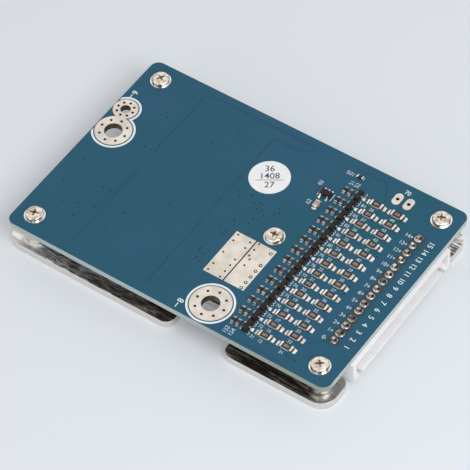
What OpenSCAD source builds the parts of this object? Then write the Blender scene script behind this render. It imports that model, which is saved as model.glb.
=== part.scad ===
// Battery management board: a circuit board held over an aluminium heat plate by five screws.
// Millimetres. The solder side faces up. The plate's underside lies on Z = 0, and the origin is
// under the middle of the board. X runs to the cell connector, Y to the back edge.
// Places called "at" are measured from the board's left front corner.

/* [Board] */
// Length of the board along X
board_l = 90; // [88:0.5:100]
// Width of the board along Y
board_w = 60; // [59:0.5:66]
// Thickness of the board
board_t = 1.6; // [1.2:0.1:2]
// Corner radius of the board
board_r = 2.2; // [1:0.1:3]
// Thickness of the solder on the bare pads
tin_t = 0.1; // [0.06:0.01:0.2]

/* [Heat plate] */
// Thickness of the plate
plate_t = 2; // [1.5:0.1:3]
// Free height between plate and board
gap_h = 5.6; // [5.4:0.1:7]
// How far the plate reaches past the board's left edge
plate_over = 1; // [0:0.1:1.5]
// Outer corner radius of the plate
plate_r = 4.2; // [3:0.1:4.6]
// Radius on the shoulders of the plate's notches
shoulder_r = 2.5; // [1:0.1:2.8]
// Radius in the bottom corners of the plate's notches
notch_r = 1.5; // [0.5:0.1:2.5]
// Depth of the front notch, under the battery wire
front_notch_d = 11; // [10:0.5:13]
// Depth of the left notch, under the pack wires
left_notch_d = 11; // [10:0.5:12]

/* [Screws and standoffs] */
// Distance from the board's edges to a corner screw
screw_inset = 4.9; // [4.4:0.1:5.2]
// Radius of the screw thread
screw_r = 1.25; // [1:0.05:1.5]
// Radius of the screw head
head_r = 2.2; // [2:0.05:2.4]
// Height of the screw head
head_h = 1; // [0.8:0.1:2]
// Length of the screw under its head
screw_l = 6; // [5:0.5:7]
// Radius of a standoff
standoff_r = 3; // [2.8:0.05:3.5]
// Radius of the standoff's spigot, pressed into the plate
spigot_r = 2.1; // [1.8:0.05:2.4]
// Radius of the tinned ring round a screw hole
screw_pad_r = 2.55; // [2.5:0.05:3]

/* [Wire pads] */
// Radius of the large wire holes
wire_hole_r = 2.25; // [1.8:0.05:2.4]
// Radius of the small wire hole
charge_hole_r = 1.3; // [1:0.05:1.5]
// Radius of the tinned pad round the battery wire hole
battery_pad_r = 5; // [4.5:0.1:5.4]
// Radius of the tinned pad round the pack wire hole
pack_pad_r = 4.55; // [4:0.05:4.7]
// Radius of the tinned pad round the charge wire hole
charge_pad_r = 3.1; // [2.8:0.05:3.2]

/* [Cell connector] */
// Number of pins
pins = 15; // [13:2:15]
// Pitch of the pins
pin_pitch = 2.5; // [2.5:0.01:2.54]
// Thickness of a square pin
pin_t = 0.64; // [0.5:0.02:0.64]
// How far the mouth stands past the board's right edge
mouth_out = 0.8; // [0:0.1:1.5]
// Height of the housing under the board
housing_h = 6; // [5.8:0.1:6.4]
// Thickness of the walls above and below the mouth
housing_wall = 0.8; // [0.6:0.1:1]
// Thickness of the two end walls
end_wall = 1.2; // [1:0.1:1.4]
// Depth of the shroud, its back wall included
shroud_d = 6.3; // [5.8:0.1:6.4]
// Length of the arms behind the shroud
arm_l = 3; // [2:0.1:3.5]
// Width of a keying slot in the lower wall
key_slot_w = 1.1; // [0.8:0.1:1.4]
// Depth of a keying slot
key_slot_d = 1.9; // [1.5:0.1:2.5]

/* [Balance rows] */
// Number of cells, each with a row of its own
cells = 14; // [13:1:14]
// Pitch of the rows
row_pitch = 3.5; // [3.4:0.05:3.6]
// Place of the first row from the front edge
first_row = 5.05; // [5:0.05:6]
// Height of a bleed resistor
resistor_h = 0.6; // [0.5:0.05:0.7]
// Height of a balance transistor
transistor_h = 1.05; // [0.9:0.05:1.2]
// Height of a small chip
chip_h = 0.5; // [0.4:0.05:0.8]

/* [Power switches] */
// Switches in each of the two rows
switches = 5; // [4:1:5]
// Pitch of the switches
switch_pitch = 10.7; // [10.4:0.1:11]
// Height of a switch
switch_h = 4.5; // [4.3:0.1:4.6]
// Width of a moulded switch body
switch_w = 10; // [9.6:0.1:10.2]
// Length of a moulded switch body
switch_l = 8.7; // [8.4:0.1:9]

/* [Current sensing] */
// Number of sense resistors in parallel
shunts = 4; // [2:1:4]
// Pitch of the sense resistors
shunt_pitch = 3.4; // [3.3:0.05:3.5]

/* [Hidden] */

$fn = 64;
nip = 0.01;
board_z = plate_t + gap_h;
top_z = board_z + board_t;

// Screws: four at the corners and one near the middle
middle_screw_at = [55.5, 30];
screws_at = [
    [screw_inset, screw_inset],
    [board_l - screw_inset, screw_inset],
    [board_l - screw_inset, board_w - screw_inset],
    [screw_inset, board_w - screw_inset],
    middle_screw_at
];
screw_clear = 0.1;
head_round = 0.55;
cross_l = 2.5;
cross_w = 0.5;
cross_d = 0.7;

// Wire pads
battery_at = [54.45, 6];
pack_at = [4.8, 35.95];
charge_at = [3.25, 43];
battery_notch_x = [46.5, 61];
pack_notch_y = [29, 50];

// White printed lines round the wire pads
line_gap = 0.3;
line_w = 0.5;
line_t = 0.05;
line_edge = 0.3;

// Two solder areas over the sense resistors, with a bare strip between them
sense_pad_x = [47.3, 58.6];
sense_pad_y = [13, 26.6];
sense_gap = 0.25;
sense_mid_x = (sense_pad_x[0] + sense_pad_x[1]) / 2;

// Empty pads of a temperature probe
probe_hole_r = 0.45;
probe_pad_w = 2.1;
probe_pad_l = 3.6;
probes_at = [[73.2, 54.9], [76.25, 54.9]];

// Cell connector
pin_row_x = 83.7;
pin_hole_r = 0.5;
pin_rise = 1;
pin_bend_r = 0.6;
pin_span = (pins - 1) * pin_pitch;
housing_w = pin_span + 5.2;
mouth_x = board_l + mouth_out;
mouth_y = (board_w - housing_w) / 2;
back_wall = 1;
pin_setback = 1.2;
key_tab_w = 2.3;
pin_z = board_z - housing_h / 2;
connector_clear = 0.2;
connector_back_clear = 1;
solder_base_r = 0.95;
solder_tip_r = 0.5;
solder_h = 0.9;

// Balance rows, from the front edge to the back
rows = [for (i = [0 : cells - 1]) first_row + i * row_pitch];
resistor_x = [70.1, 75.9];
resistor_l = 3.2;
resistor_w = 1.6;
cap_l = 0.5;
fillet_l = 1;
fillet_h = 0.12;
transistor_x = 65.2;
transistor_l = 2.9;
transistor_w = 1.3;
lead_w = 0.45;
lead_t = 0.15;
lead_reach = 0.6;
lead_pitch = 0.95;
small_draft = 0.1;
filter_x = [61.5, 62.9];
filter_l = 1.6;
filter_w = 0.8;
filter_cap_l = 0.3;
filter_fillet_l = 0.35;

// Parts near the detector chip
detector_at = [58.4, 47];
detector_l = 2.9;
detector_w = 1.6;
detector_h = 1.1;
detector_cap_at = [58.4, 43.1];
detector_cap_l = 2;
detector_cap_w = 1.25;
detector_cap_h = 0.9;
detector_res_at = [62.3, 55.6];

// Label
label_at = [44.4, 44.15];
label_r = 5;
label_t = 0.1;

// Power switches in two rows, back to back, under the left half of the board
switch_mid_x = 27.75;
switch_tab_gap = 0.4;
tab_w = 8.2;
tab_out = 1.4;
tab_t = 1.3;
switch_lead_w = 0.8;
switch_lead_t = 0.5;
switch_lead_x = 2.54;
switch_lead_h = 2.7;
switch_lead_out = 4.6;
switch_foot = 1.8;
switch_lead_in = 0.8;
stub_out = 1;
draft = 0.35;

// Thermal pad between the switches and the plate
thermal_l = 20.6;
thermal_w = 53.4;

// Sense resistors under the two solder areas
shunt_l = 6.4;
shunt_w = 3;
shunt_h = 0.9;
shunt_cap_l = 1.2;
shunt_first_y = 14.7;

// Monitor and driver chips under the board
monitor_at = [70, 30];
monitor_l = 10.2;
monitor_w = 5.3;
monitor_h = 1.8;
monitor_pins = 14;
monitor_pitch = 0.65;
monitor_lead_w = 0.3;
driver_at = [47.5, 46];
driver_l = 4.9;
driver_w = 3.9;
driver_h = 1.6;
driver_pins = 4;
driver_pitch = 1.27;
driver_lead_w = 0.4;
chip_lead_out = 1.2;
chip_lead_t = 0.2;
chip_draft = 0.15;

tin = "#e6dccf";
ink = "#dde4e6";
nickel = "#cdbfae";
mould_black = "#2b2a2c";
aluminium = "#c9cacc";

// ---- Shared shapes ----

module from_corner() {
    translate([-board_l / 2, -board_w / 2, 0])
        children();
}

module at(p, z = 0) {
    translate([p[0], p[1], z])
        children();
}

module rounded_square(w, d, r) {
    translate([r, 0])
        square([w - 2 * r, d]);
    translate([0, r])
        square([w, d - 2 * r]);
    for (x = [r, w - r], y = [r, d - r])
        translate([x, y])
            circle(r);
}

// What is cut off a square corner at the origin to round it, with the material in +X and +Y
module corner_waste(r) {
    difference() {
        translate([-nip, -nip])
            square(r + nip);
        translate([r, r])
            circle(r);
    }
}

// A box with its middle on X and Y, standing on z
module slab(l, w, h, z) {
    translate([-l / 2, -w / 2, z])
        cube([l, w, h]);
}

// A moulded body that narrows from its parting line to its top face
module moulded(l, w, h, z, slope) {
    profile_y = [
        [-w / 2, 0],
        [w / 2, 0],
        [w / 2, h / 2],
        [w / 2 - slope, h],
        [-w / 2 + slope, h],
        [-w / 2, h / 2]
    ];
    profile_x = [
        [-l / 2, 0],
        [l / 2, 0],
        [l / 2, h / 2],
        [l / 2 - slope, h],
        [-l / 2 + slope, h],
        [-l / 2, h / 2]
    ];
    translate([0, 0, z])
        intersection() {
            translate([l / 2, 0, 0])
                rotate([90, 0, -90])
                    linear_extrude(l)
                        polygon(profile_y);
            translate([0, w / 2, 0])
                rotate([90, 0, 0])
                    linear_extrude(w)
                        polygon(profile_x);
        }
}

// Solder that holds one end of a chip: it starts on the chip's end and runs down to the pad
module fillet(w, cap, reach, h) {
    translate([0, w / 2, 0])
        rotate([90, 0, 0])
            linear_extrude(w)
                polygon([[0, 0], [cap + reach, 0], [cap + reach, fillet_h], [cap, h], [0, h]]);
}

module chip_ends(l, w, cap, reach, h) {
    for (turn = [0, 180])
        rotate([0, 0, turn])
            translate([l / 2 - cap, 0, 0])
                fillet(w, cap, reach, h);
}

// A gull-wing lead that leaves a body at the origin in +X and steps down from h to its foot
module gull_lead(w, t, h, out, foot) {
    knee = out - foot;
    translate([0, w / 2, 0])
        rotate([90, 0, 0])
            linear_extrude(w)
                polygon([
                    [0, h],
                    [knee / 2, h],
                    [knee, t],
                    [out, t],
                    [out, 0],
                    [knee - t, 0],
                    [knee / 2 - t, h - t],
                    [0, h - t]
                ]);
}

// Leads along both long sides of a chip that lies along Y
module chip_leads(w, count, pitch, lead, h, out) {
    for (turn = [0, 180])
        rotate([0, 0, turn])
            for (i = [0 : count - 1])
                translate([w / 2, (i - (count - 1) / 2) * pitch, 0])
                    gull_lead(lead, chip_lead_t, h, out, out / 2);
}

// Turns what stands on Z = 0 so that it hangs from the board's underside
module under_board() {
    translate([0, 0, board_z])
        mirror([0, 0, 1])
            children();
}

// ---- Board and plate ----

module board() {
    color("#2f5f74")
        from_corner()
            translate([0, 0, board_z])
                linear_extrude(board_t)
                    difference() {
                        rounded_square(board_l, board_w, board_r);
                        for (p = screws_at)
                            translate(p)
                                circle(screw_r + screw_clear);
                        translate(battery_at)
                            circle(wire_hole_r);
                        translate(pack_at)
                            circle(wire_hole_r);
                        translate(charge_at)
                            circle(charge_hole_r);
                        for (p = probes_at)
                            translate(p)
                                circle(probe_hole_r);
                        for (i = [0 : pins - 1])
                            translate([pin_row_x, pin_y(i)])
                                circle(pin_hole_r);
                    }
}

function pin_y(i) = board_w / 2 - pin_span / 2 + i * pin_pitch;

// Plate outline: a rounded plate with a notch in its front, left and right edges
module plate_outline() {
    notch_x = mouth_x - shroud_d - arm_l - connector_back_clear;
    notch_y = mouth_y - connector_clear;
    plate_l = board_l + plate_over;
    difference() {
        translate([-plate_over, 0])
            rounded_square(plate_l, board_w, plate_r);
        // under the battery wire
        translate([battery_notch_x[0], -front_notch_d])
            rounded_square(battery_notch_x[1] - battery_notch_x[0], 2 * front_notch_d, notch_r);
        translate([battery_notch_x[1], 0])
            corner_waste(shoulder_r);
        translate([battery_notch_x[0], 0])
            mirror([1, 0])
                corner_waste(shoulder_r);
        // under the pack and charge wires
        translate([-plate_over - left_notch_d, pack_notch_y[0]])
            rounded_square(2 * left_notch_d, pack_notch_y[1] - pack_notch_y[0], notch_r);
        translate([-plate_over, pack_notch_y[1]])
            corner_waste(shoulder_r);
        translate([-plate_over, pack_notch_y[0]])
            mirror([0, 1])
                corner_waste(shoulder_r);
        // round the cell connector
        translate([notch_x, notch_y])
            rounded_square(2 * (board_l - notch_x), board_w - 2 * notch_y, notch_r);
        translate([board_l, notch_y])
            rotate(180)
                corner_waste(shoulder_r);
        translate([board_l, board_w - notch_y])
            mirror([1, 0])
                corner_waste(shoulder_r);
    }
}

module heat_plate() {
    color(aluminium)
        from_corner()
            linear_extrude(plate_t)
                difference() {
                    plate_outline();
                    for (p = screws_at)
                        translate(p)
                            circle(spigot_r);
                }
}

// ---- Screws and standoffs ----

module standoff() {
    difference() {
        union() {
            cylinder(r = spigot_r, h = plate_t);
            translate([0, 0, plate_t])
                cylinder(r = standoff_r, h = gap_h);
        }
        translate([0, 0, -nip])
            cylinder(r = screw_r, h = board_z + 2 * nip);
    }
}

module standoffs() {
    color("#d8d5cf")
        from_corner()
            for (p = screws_at)
                at(p)
                    standoff();
}

// Half the section of a pan head, with a round shoulder
module pan_head_profile() {
    square([head_r, head_h - head_round]);
    square([head_r - head_round, head_h]);
    translate([head_r - head_round, head_h - head_round])
        intersection() {
            circle(head_round);
            square(head_round);
        }
}

// Pan head with a cross recess, on a plain shank
module screw() {
    difference() {
        union() {
            translate([0, 0, -screw_l])
                cylinder(r = screw_r, h = screw_l);
            rotate_extrude()
                pan_head_profile();
        }
        translate([0, 0, head_h - cross_d])
            slab(cross_l, cross_w, cross_d + nip, 0);
        translate([0, 0, head_h - cross_d])
            slab(cross_w, cross_l, cross_d + nip, 0);
    }
}

module screws() {
    color(nickel)
        from_corner()
            for (p = screws_at)
                at(p, top_z + tin_t)
                    screw();
}

// ---- Tinned pads ----

module screw_pads() {
    color(tin)
        from_corner()
            for (p = screws_at)
                at(p, top_z)
                    linear_extrude(tin_t)
                        difference() {
                            circle(screw_pad_r);
                            circle(screw_r + screw_clear);
                        }
}

module battery_wire_pad() {
    color(tin)
        from_corner()
            at(battery_at, top_z)
                linear_extrude(tin_t)
                    difference() {
                        circle(battery_pad_r);
                        circle(wire_hole_r);
                    }
}

module pack_wire_pads() {
    color(tin)
        from_corner()
            translate([0, 0, top_z])
                linear_extrude(tin_t)
                    difference() {
                        intersection() {
                            square([board_l, board_w]);
                            union() {
                                translate(pack_at)
                                    circle(pack_pad_r);
                                translate(charge_at)
                                    circle(charge_pad_r);
                            }
                        }
                        translate(pack_at)
                            circle(wire_hole_r);
                        translate(charge_at)
                            circle(charge_hole_r);
                    }
}

module pack_pads_grown(by) {
    translate(pack_at)
        circle(pack_pad_r + by);
    translate(charge_at)
        circle(charge_pad_r + by);
}

// The left pads share one line, open towards the board's edge
module pad_outlines() {
    color(ink)
        from_corner()
            translate([0, 0, top_z])
                linear_extrude(line_t) {
                    translate(battery_at)
                        difference() {
                            circle(battery_pad_r + line_gap + line_w);
                            circle(battery_pad_r + line_gap);
                        }
                    difference() {
                        pack_pads_grown(line_gap + line_w);
                        pack_pads_grown(line_gap);
                        translate([line_edge - board_l, 0])
                            square([board_l, board_w]);
                        translate([0, pack_at[1]])
                            square([charge_at[0], charge_at[1] - pack_at[1]]);
                    }
                }
}

module sense_pads() {
    pad_l = (sense_pad_x[1] - sense_pad_x[0] - sense_gap) / 2;
    color(tin)
        from_corner()
            for (x = [sense_pad_x[0], sense_mid_x + sense_gap / 2])
                translate([x, sense_pad_y[0], top_z])
                    cube([pad_l, sense_pad_y[1] - sense_pad_y[0], tin_t]);
}

// A pad with round ends, lying along Y
module oblong(w, l) {
    straight = l - w;
    square([w, straight], center = true);
    for (side = [-1, 1])
        translate([0, side * straight / 2])
            circle(w / 2);
}

module probe_pads() {
    color(tin)
        from_corner()
            for (p = probes_at)
                at(p, top_z)
                    linear_extrude(tin_t)
                        difference() {
                            oblong(probe_pad_w, probe_pad_l);
                            circle(probe_hole_r);
                        }
}

// ---- Cell connector ----

// Side-entry shroud: open to +X, keyed by two slots, with two arms behind it that stand beside
// the pins where these turn up into the board
module connector_housing() {
    back_x = mouth_x - shroud_d;
    low_z = board_z - housing_h;
    color("#e4e4e6")
        from_corner()
            difference() {
                translate([back_x - arm_l, mouth_y, low_z])
                    cube([shroud_d + arm_l, housing_w, housing_h]);
                // the room between the arms
                translate([back_x - arm_l - nip, mouth_y + end_wall, low_z - nip])
                    cube([arm_l + nip, housing_w - 2 * end_wall, housing_h + 2 * nip]);
                // the mouth
                translate([back_x + back_wall, mouth_y + end_wall, low_z + housing_wall])
                    cube([shroud_d, housing_w - 2 * end_wall, housing_h - 2 * housing_wall]);
                // the keying slots in the lower wall
                for (y = [mouth_y + key_tab_w, mouth_y + housing_w - key_tab_w - key_slot_w])
                    translate([mouth_x - key_slot_d, y, low_z - nip])
                        cube([key_slot_d + nip, key_slot_w, housing_wall + 2 * nip]);
                // the pin holes in the back wall
                for (i = [0 : pins - 1])
                    translate([back_x - nip, pin_y(i) - pin_t / 2, pin_z - pin_t / 2])
                        cube([back_wall + 2 * nip, pin_t, pin_t]);
            }
}

// A square pin that turns from the mouth up through the board, round on the outside of its bend
module connector_pin() {
    tip_x = mouth_x - pin_setback - pin_row_x;
    foot_z = top_z + pin_rise - pin_z;
    translate([0, pin_t / 2, 0])
        rotate([90, 0, 0])
            linear_extrude(pin_t)
                difference() {
                    polygon([
                        [-pin_t / 2, -pin_t / 2],
                        [tip_x, -pin_t / 2],
                        [tip_x, pin_t / 2],
                        [pin_t / 2, pin_t / 2],
                        [pin_t / 2, foot_z],
                        [-pin_t / 2, foot_z]
                    ]);
                    translate([-pin_t / 2, -pin_t / 2])
                        corner_waste(pin_bend_r);
                }
}

module connector_pins() {
    color(tin)
        from_corner()
            for (i = [0 : pins - 1])
                translate([pin_row_x, pin_y(i), pin_z])
                    connector_pin();
}

// Hollow cone of solder round a pin
module solder_joint() {
    // radius of the hollow curve from the pad's edge up to the pin
    spread = solder_base_r - solder_tip_r;
    hollow_r = (spread * spread + solder_h * solder_h) / (2 * spread);
    difference() {
        rotate_extrude($fn = 24)
            difference() {
                square([solder_base_r, solder_h]);
                translate([solder_tip_r + hollow_r, solder_h])
                    circle(hollow_r);
            }
        slab(pin_t, pin_t, solder_h + 2 * nip, -nip);
    }
}

module pin_solder() {
    color(tin)
        from_corner()
            for (i = [0 : pins - 1])
                translate([pin_row_x, pin_y(i), top_z])
                    solder_joint();
}

// ---- Balance rows ----

module bleed_resistors(x) {
    color(mould_black)
        from_corner()
            for (y = rows)
                at([x, y])
                    slab(resistor_l - 2 * cap_l, resistor_w, resistor_h, top_z);
}

module bleed_resistors_inner() {
    bleed_resistors(resistor_x[0]);
}

module bleed_resistors_outer() {
    bleed_resistors(resistor_x[1]);
}

module bleed_resistor_solder() {
    color(tin)
        from_corner()
            for (x = resistor_x, y = rows)
                at([x, y], top_z)
                    chip_ends(resistor_l, resistor_w, cap_l, fillet_l, resistor_h);
}

module balance_transistors() {
    color(mould_black)
        from_corner()
            for (y = rows)
                at([transistor_x, y])
                    moulded(transistor_w, transistor_l, transistor_h - lead_t, top_z + lead_t,
                        small_draft);
}

// Two leads on the inner side and one on the outer side
module balance_transistor_leads() {
    color(tin)
        from_corner()
            for (y = rows)
                at([transistor_x, y], top_z) {
                    translate([transistor_w / 2, 0, 0])
                        gull_lead(lead_w, lead_t, transistor_h / 2, lead_reach, lead_reach / 2);
                    for (side = [-1, 1])
                        translate([-transistor_w / 2, side * lead_pitch, 0])
                            rotate([0, 0, 180])
                                gull_lead(lead_w, lead_t, transistor_h / 2, lead_reach, lead_reach / 2);
                }
}

module filter_chips(x) {
    from_corner()
        for (y = rows)
            at([x, y])
                slab(filter_w, filter_l - 2 * filter_cap_l, chip_h, top_z);
}

module filter_resistors() {
    color("#3a3836")
        filter_chips(filter_x[0]);
}

module filter_capacitors() {
    color("#8d7a64")
        filter_chips(filter_x[1]);
}

module filter_chip_solder() {
    color(tin)
        from_corner()
            for (x = filter_x, y = rows)
                at([x, y], top_z)
                    rotate([0, 0, 90])
                        chip_ends(filter_l, filter_w, filter_cap_l, filter_fillet_l, chip_h);
}

// ---- Detector parts ----

module detector_chip() {
    color(mould_black)
        from_corner()
            at(detector_at)
                moulded(detector_l, detector_w, detector_h - lead_t, top_z + lead_t, small_draft);
}

// Three leads towards the back and two towards the front
module detector_chip_leads() {
    color(tin)
        from_corner()
            at(detector_at, top_z) {
                for (i = [-1 : 1])
                    translate([i * lead_pitch, detector_w / 2, 0])
                        rotate([0, 0, 90])
                            gull_lead(lead_w, lead_t, detector_h / 2, lead_reach, lead_reach / 2);
                for (i = [-1, 1])
                    translate([i * lead_pitch, -detector_w / 2, 0])
                        rotate([0, 0, -90])
                            gull_lead(lead_w, lead_t, detector_h / 2, lead_reach, lead_reach / 2);
            }
}

module detector_capacitor() {
    color("#a58a70")
        from_corner()
            at(detector_cap_at)
                slab(detector_cap_w, detector_cap_l - 2 * cap_l, detector_cap_h, top_z);
}

module detector_resistor() {
    color("#3a3836")
        from_corner()
            at(detector_res_at)
                slab(filter_l - 2 * filter_cap_l, filter_w, chip_h, top_z);
}

module detector_part_solder() {
    color(tin)
        from_corner() {
            at(detector_cap_at, top_z)
                rotate([0, 0, 90])
                    chip_ends(detector_cap_l, detector_cap_w, cap_l, fillet_l / 2, detector_cap_h);
            at(detector_res_at, top_z)
                chip_ends(filter_l, filter_w, filter_cap_l, filter_fillet_l, chip_h);
        }
}

module round_label() {
    color("#f1f1ef")
        from_corner()
            at(label_at, top_z)
                cylinder(r = label_r, h = label_t);
}

// ---- Power switches ----

function switch_y(i) = board_w / 2 + (i - (switches - 1) / 2) * switch_pitch;

// Puts a switch of either row in its place, hanging from the board, with its leads outwards
module switch_place(i, outward) {
    from_corner()
        translate([switch_mid_x + outward * (switch_tab_gap / 2 + tab_out), switch_y(i), 0])
            under_board()
                mirror([outward < 0 ? 1 : 0, 0, 0])
                    children();
}

// Moulded body, with a seat for the metal tab and three pockets for the leads
module switch_body() {
    difference() {
        translate([switch_l / 2, 0, 0])
            moulded(switch_l, switch_w, switch_h, 0, draft);
        translate([-nip, -tab_w / 2, -nip])
            cube([switch_l - 1 + nip, tab_w, tab_t + nip]);
        for (side = [-1 : 1])
            translate([switch_l - switch_lead_in, side * switch_lead_x - switch_lead_w / 2,
                switch_lead_h - switch_lead_t])
                cube([switch_lead_in + nip, switch_lead_w, switch_lead_t]);
    }
}

// Tab, two gull-wing leads and the cropped middle lead
module switch_frame() {
    translate([-tab_out, -tab_w / 2, 0])
        cube([tab_out + switch_l - 1, tab_w, tab_t]);
    for (side = [-1, 1])
        translate([switch_l, side * switch_lead_x, 0]) {
            gull_lead(switch_lead_w, switch_lead_t, switch_lead_h, switch_lead_out, switch_foot);
            translate([-switch_lead_in, -switch_lead_w / 2, switch_lead_h - switch_lead_t])
                cube([switch_lead_in, switch_lead_w, switch_lead_t]);
        }
    translate([switch_l - switch_lead_in, -switch_lead_w / 2, switch_lead_h - switch_lead_t])
        cube([switch_lead_in + stub_out, switch_lead_w, switch_lead_t]);
}

module charge_switch(i) {
    color(mould_black)
        switch_place(i - 1, -1)
            switch_body();
}

module discharge_switch(i) {
    color(mould_black)
        switch_place(i - 1, 1)
            switch_body();
}

module charge_switch_frames() {
    color(tin)
        for (i = [0 : switches - 1])
            switch_place(i, -1)
                switch_frame();
}

module discharge_switch_frames() {
    color(tin)
        for (i = [0 : switches - 1])
            switch_place(i, 1)
                switch_frame();
}

module thermal_pad() {
    color("#9db4c4")
        from_corner()
            at([switch_mid_x, board_w / 2])
                slab(thermal_l, thermal_w, gap_h - switch_h, plate_t);
}

// ---- Current sensing ----

function shunt_y(i) = shunt_first_y + i * shunt_pitch;

module sense_resistor(i) {
    color("#33302e")
        from_corner()
            at([sense_mid_x, shunt_y(i - 1)])
                under_board()
                    slab(shunt_l - 2 * shunt_cap_l, shunt_w, shunt_h, 0);
}

module sense_resistor_terminals() {
    color(tin)
        from_corner()
            for (i = [0 : shunts - 1])
                at([sense_mid_x, shunt_y(i)])
                    under_board()
                        chip_ends(shunt_l, shunt_w, shunt_cap_l, fillet_l / 2, shunt_h);
}

// ---- Monitor and driver chips ----

module monitor_chip() {
    color(mould_black)
        from_corner()
            at(monitor_at)
                under_board()
                    moulded(monitor_w, monitor_l, monitor_h - lead_t, lead_t, chip_draft);
}

module monitor_chip_leads() {
    color(tin)
        from_corner()
            at(monitor_at)
                under_board()
                    chip_leads(monitor_w, monitor_pins, monitor_pitch, monitor_lead_w,
                        monitor_h / 2, chip_lead_out);
}

module driver_chip() {
    color(mould_black)
        from_corner()
            at(driver_at)
                under_board()
                    moulded(driver_w, driver_l, driver_h - lead_t, lead_t, chip_draft);
}

module driver_chip_leads() {
    color(tin)
        from_corner()
            at(driver_at)
                under_board()
                    chip_leads(driver_w, driver_pins, driver_pitch, driver_lead_w,
                        driver_h / 2, chip_lead_out);
}

board();
heat_plate();
standoffs();
screws();
screw_pads();
battery_wire_pad();
pack_wire_pads();
sense_pads();
probe_pads();
pad_outlines();
connector_housing();
connector_pins();
pin_solder();
bleed_resistors_inner();
bleed_resistors_outer();
bleed_resistor_solder();
balance_transistors();
balance_transistor_leads();
filter_resistors();
filter_capacitors();
filter_chip_solder();
detector_chip();
detector_chip_leads();
detector_capacitor();
detector_resistor();
detector_part_solder();
round_label();
charge_switch(1);  // charge_switch_1
charge_switch(2);  // charge_switch_2
charge_switch(3);  // charge_switch_3
charge_switch(4);  // charge_switch_4
charge_switch(5);  // charge_switch_5
discharge_switch(1);  // discharge_switch_1
discharge_switch(2);  // discharge_switch_2
discharge_switch(3);  // discharge_switch_3
discharge_switch(4);  // discharge_switch_4
discharge_switch(5);  // discharge_switch_5
charge_switch_frames();
discharge_switch_frames();
thermal_pad();
sense_resistor(1);  // sense_resistor_1
sense_resistor(2);  // sense_resistor_2
sense_resistor(3);  // sense_resistor_3
sense_resistor(4);  // sense_resistor_4
sense_resistor_terminals();
monitor_chip();
monitor_chip_leads();
driver_chip();
driver_chip_leads();
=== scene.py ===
"""Looks of the battery management board: finishes, print, solder and the small parts round the frame.

Places on the board are in millimetres from its left front corner and its top face, the solder side.
"""

import math
import random

import bmesh
import bpy
from mathutils import Matrix, Vector


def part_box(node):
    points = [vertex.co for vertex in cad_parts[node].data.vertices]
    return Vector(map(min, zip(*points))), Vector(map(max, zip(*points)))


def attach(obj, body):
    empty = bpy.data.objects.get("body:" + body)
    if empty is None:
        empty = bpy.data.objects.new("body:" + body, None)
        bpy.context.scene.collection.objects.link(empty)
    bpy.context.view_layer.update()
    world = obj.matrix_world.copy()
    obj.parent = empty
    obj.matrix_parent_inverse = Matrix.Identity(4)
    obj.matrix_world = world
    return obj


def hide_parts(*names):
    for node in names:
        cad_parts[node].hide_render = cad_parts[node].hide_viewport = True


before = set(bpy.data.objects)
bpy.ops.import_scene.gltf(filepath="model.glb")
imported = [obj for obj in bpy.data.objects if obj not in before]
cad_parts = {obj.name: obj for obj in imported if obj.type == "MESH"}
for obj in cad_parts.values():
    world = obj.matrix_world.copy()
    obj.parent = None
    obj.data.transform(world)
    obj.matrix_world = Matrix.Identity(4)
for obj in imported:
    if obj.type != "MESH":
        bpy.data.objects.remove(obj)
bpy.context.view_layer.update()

MM = 0.001
BODY = "root"

# ---------------------------------------------------------------- places

board_low, board_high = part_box("board")
BOARD_LENGTH = (board_high.x - board_low.x) / MM
BOARD_WIDTH = (board_high.y - board_low.y) / MM
BOARD_THICKNESS = (board_high.z - board_low.z) / MM
CORNER = Vector((board_low.x, board_low.y, board_high.z))


def spot(x, y, z=0.0):
    """A place on the board, in metres in the row frame."""
    return CORNER + Vector((x, y, z)) * MM


def middle(node):
    """The middle of a node's box, on the board, in millimetres."""
    low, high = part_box(node)
    return ((low + high) / 2 - CORNER) / MM


def row_places(node, width, count):
    """First place and pitch of what repeats along Y in a node, from its box and one part's width."""
    low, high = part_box(node)
    first = (low.y - CORNER.y) / MM + width / 2
    last = (high.y - CORNER.y) / MM - width / 2
    return first, (last - first) / (count - 1)


ROWS = 14
RESISTOR_WIDTH = 1.6
FIRST_ROW, ROW_PITCH = row_places("bleed_resistors_inner", RESISTOR_WIDTH, ROWS)
PINS = 15
PIN_THICKNESS = 0.64
FIRST_PIN, PIN_PITCH = row_places("connector_pins", PIN_THICKNESS, PINS)
PIN_X = middle("pin_solder").x
CHIP_ROWS = (FIRST_ROW, ROW_PITCH, ROWS)
PIN_ROW = (FIRST_PIN, PIN_PITCH, PINS)
SCREW_HEAD_R = 2.2
SCREW_HEAD_H = 1.0
SCREW_INSET = (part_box("screws")[0].x - CORNER.x) / MM + SCREW_HEAD_R
MIDDLE_SCREW = (55.5, 30.0)
SCREWS = [
    (SCREW_INSET, SCREW_INSET),
    (BOARD_LENGTH - SCREW_INSET, SCREW_INSET),
    (BOARD_LENGTH - SCREW_INSET, BOARD_WIDTH - SCREW_INSET),
    (SCREW_INSET, BOARD_WIDTH - SCREW_INSET),
    MIDDLE_SCREW,
]
BATTERY_HOLE = (54.45, 6.0, 2.25)
PACK_HOLE = (4.8, 35.95, 2.25)
CHARGE_HOLE = (3.25, 43.0, 1.3)
PROBE_HOLES = ((73.2, 54.9, 0.45), (76.25, 54.9, 0.45))
PAD_HEIGHT = 0.1
# Top of the painted shade in the hollows beside the chip caps.
SHADE_FILL_TOP = 0.1
INK = 0.02

# ---------------------------------------------------------------- shader groups


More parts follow.
